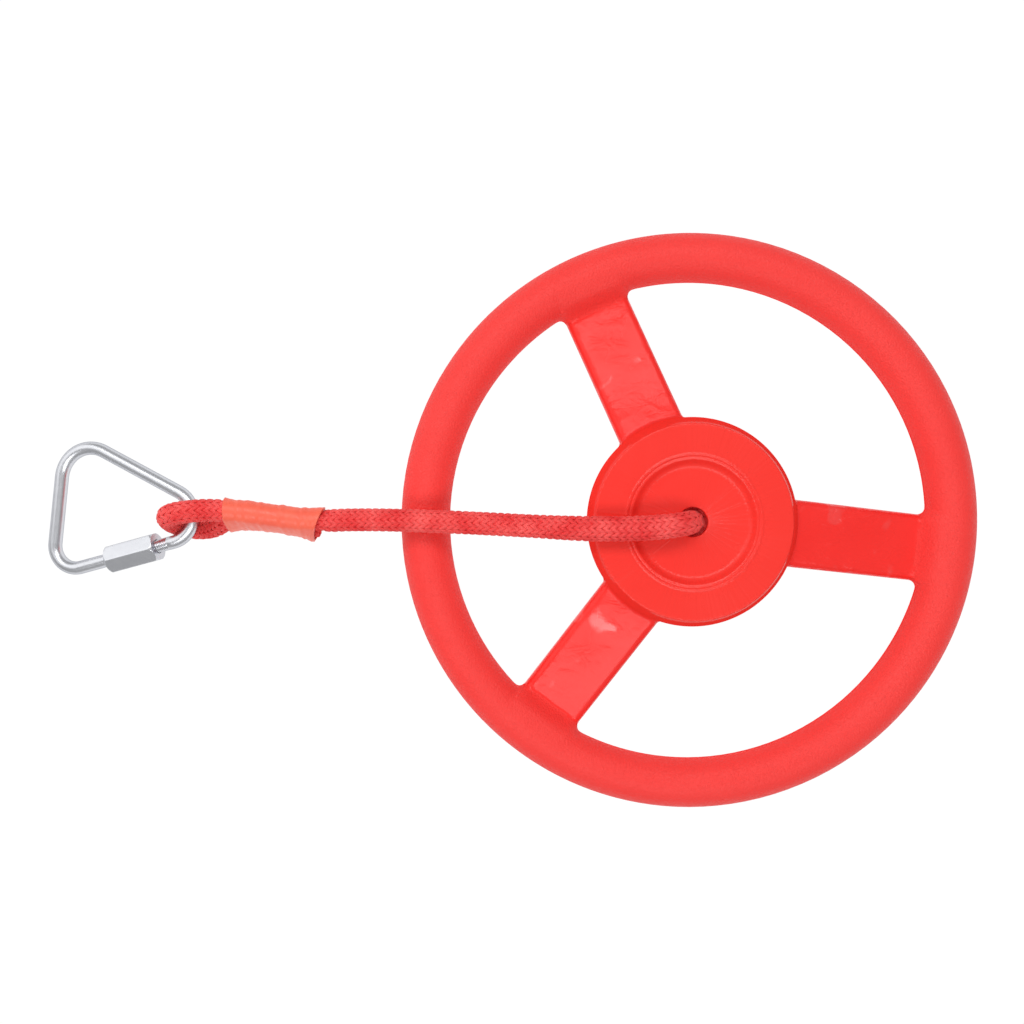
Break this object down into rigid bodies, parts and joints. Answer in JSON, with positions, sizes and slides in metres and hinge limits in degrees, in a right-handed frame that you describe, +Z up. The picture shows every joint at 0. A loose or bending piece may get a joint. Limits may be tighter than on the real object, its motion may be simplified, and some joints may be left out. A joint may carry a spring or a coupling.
{
  "type": "hanging_spinning_wheel",
  "caption": "Red plastic hanging wheel with dished spokes, on a braided red rope with an eye, heat-shrink sleeve and a triangular zinc screw link, laid flat",
  "frame": {"origin": "on the floor, under the wheel's axle line, with the wheel lying on its rim", "axes": "+Z is up along the wheel's axle; -X is the way the rope and the link are laid out; +Y is to the left of someone who looks along +X from the link"},
  "size_m": [0.4897, 0.3, 0.0482],
  "materials": {
    "red_plastic": "blow-moulded polyethylene, fine matte grain on the rim, glossy hub and spokes",
    "red_rope": "braided polyester or polypropylene",
    "white_thread": "strong sewing thread",
    "salmon_sleeve": "satin heat-shrink tubing",
    "zinc_steel": "bright zinc plating"
  },
  "bodies": {
    "wheel": {"wheel_moulding": "red_plastic"},
    "rope_foot": {"hub_washer": "zinc_steel", "stopper_knot": "red_rope", "rope_bend": "red_rope"},
    "lead": {"rope_lead": "red_rope", "eye_lashing": "white_thread", "heat_shrink_sleeve": "salmon_sleeve"},
    "link": {"link_body": "zinc_steel"},
    "nut": {"link_nut": "zinc_steel"}
  },
  "joints": [
    {"name": "wheel_spin", "type": "hinge", "parent": "wheel", "child": "rope_foot", "pos_m": [0, 0, 0.029], "axis": [0, 0, 1], "continuous": true},
    {"name": "rope_lift", "type": "hinge", "parent": "rope_foot", "child": "lead", "pos_m": [-0.003, -0.0005, 0.0384], "axis": [0, 1, 0], "range_deg": [0, 95], "deforming": ["rope_bend"]},
    {"name": "link_swing", "type": "hinge", "parent": "lead", "child": "link", "pos_m": [-0.2585, 0.0012, 0.0178], "axis": [0, 1, 0], "range_deg": [0, 90]},
    {"name": "nut_slide", "type": "slide", "parent": "link", "child": "nut", "axis": [-0.9526, -0.252, -0.1706], "range_m": [0, 0.0185]}
  ]
}
